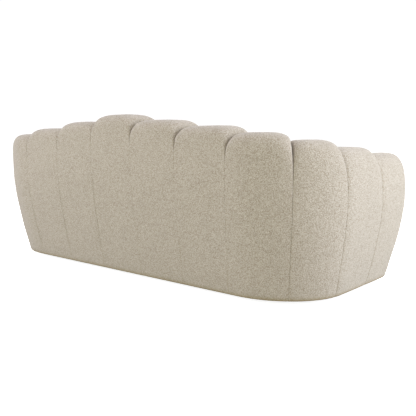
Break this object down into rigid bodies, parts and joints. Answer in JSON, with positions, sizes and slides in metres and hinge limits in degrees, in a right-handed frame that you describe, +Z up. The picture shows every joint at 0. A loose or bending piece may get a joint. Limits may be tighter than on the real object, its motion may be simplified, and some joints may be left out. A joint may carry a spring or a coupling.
{
  "type": "channel sofa",
  "caption": "Low-backed upholstered sofa with vertical padded channels round its curved back and arms, a loose bench cushion and a sprung seat on hidden feet.",
  "frame": {"origin": "centre of the footprint on the floor", "axes": "+X along the seat towards the right arm as seen from the front, +Y towards the back, +Z up"},
  "size_m": [2.254, 0.962, 0.82],
  "materials": {
    "upholstery": "matte",
    "deck_cloth": "matte",
    "foam": "matte",
    "felt": "matte",
    "zip_tape": "matte",
    "zip_metal": "satin",
    "steel": "satin",
    "timber": "matte",
    "plywood": "matte",
    "webbing": "matte",
    "dust_cloth": "matte",
    "stained_wood": "satin"
  },
  "bodies": {
    "sofa_frame": {"channel_middle": "upholstery", "channel_back_left_1": "upholstery", "channel_back_left_2": "upholstery", "channel_back_left_3": "upholstery", "channel_back_right_1": "upholstery", "channel_back_right_2": "upholstery", "channel_back_right_3": "upholstery", "channel_corner_left": "upholstery", "channel_corner_right": "upholstery", "channel_arm_left": "upholstery", "channel_arm_right": "upholstery", "channel_nose_left": "upholstery", "channel_nose_right": "upholstery", "front_apron": "upholstery", "deck_cloth": "deck_cloth", "deck_pad": "foam", "spring_insulator": "felt", "tie_wires": "steel", "sinuous_springs": "steel", "spring_clips": "steel", "front_rail": "timber", "back_rail": "timber", "side_rail_left": "timber", "side_rail_right": "timber", "corner_rails": "timber", "stretchers": "timber", "front_plank": "plywood", "back_plank": "plywood", "corner_plank_left": "plywood", "corner_plank_right": "plywood", "arm_plank_left": "plywood", "arm_plank_right": "plywood", "back_board": "plywood", "corner_boards_left": "plywood", "corner_boards_right": "plywood", "arm_board_left": "plywood", "arm_board_right": "plywood", "back_posts": "timber", "arm_posts_left": "timber", "arm_posts_right": "timber", "back_top_rails": "timber", "arm_top_rails_left": "timber", "arm_top_rails_right": "timber", "back_lumbar_rails": "timber", "arm_lumbar_rails_left": "timber", "arm_lumbar_rails_right": "timber", "back_webbing": "webbing", "arm_webbing_left": "webbing", "arm_webbing_right": "webbing", "frame_screws": "steel", "dust_cover": "dust_cloth", "feet": "stained_wood", "foot_glides": "felt", "foot_screws": "steel"},
    "seat_cushion": {"cushion_cover": "upholstery", "cushion_core": "foam", "cushion_zip": "zip_tape"},
    "zip_slider": {"zip_slider": "zip_metal"}
  },
  "joints": [
    {"name": "cushion_lift", "type": "slide", "parent": "sofa_frame", "child": "seat_cushion", "axis": [0, 0, 1], "range_m": [0, 0.56]},
    {"name": "zip_pull", "type": "slide", "parent": "seat_cushion", "child": "zip_slider", "axis": [-1, 0, 0], "range_m": [0, 1.116]}
  ]
}
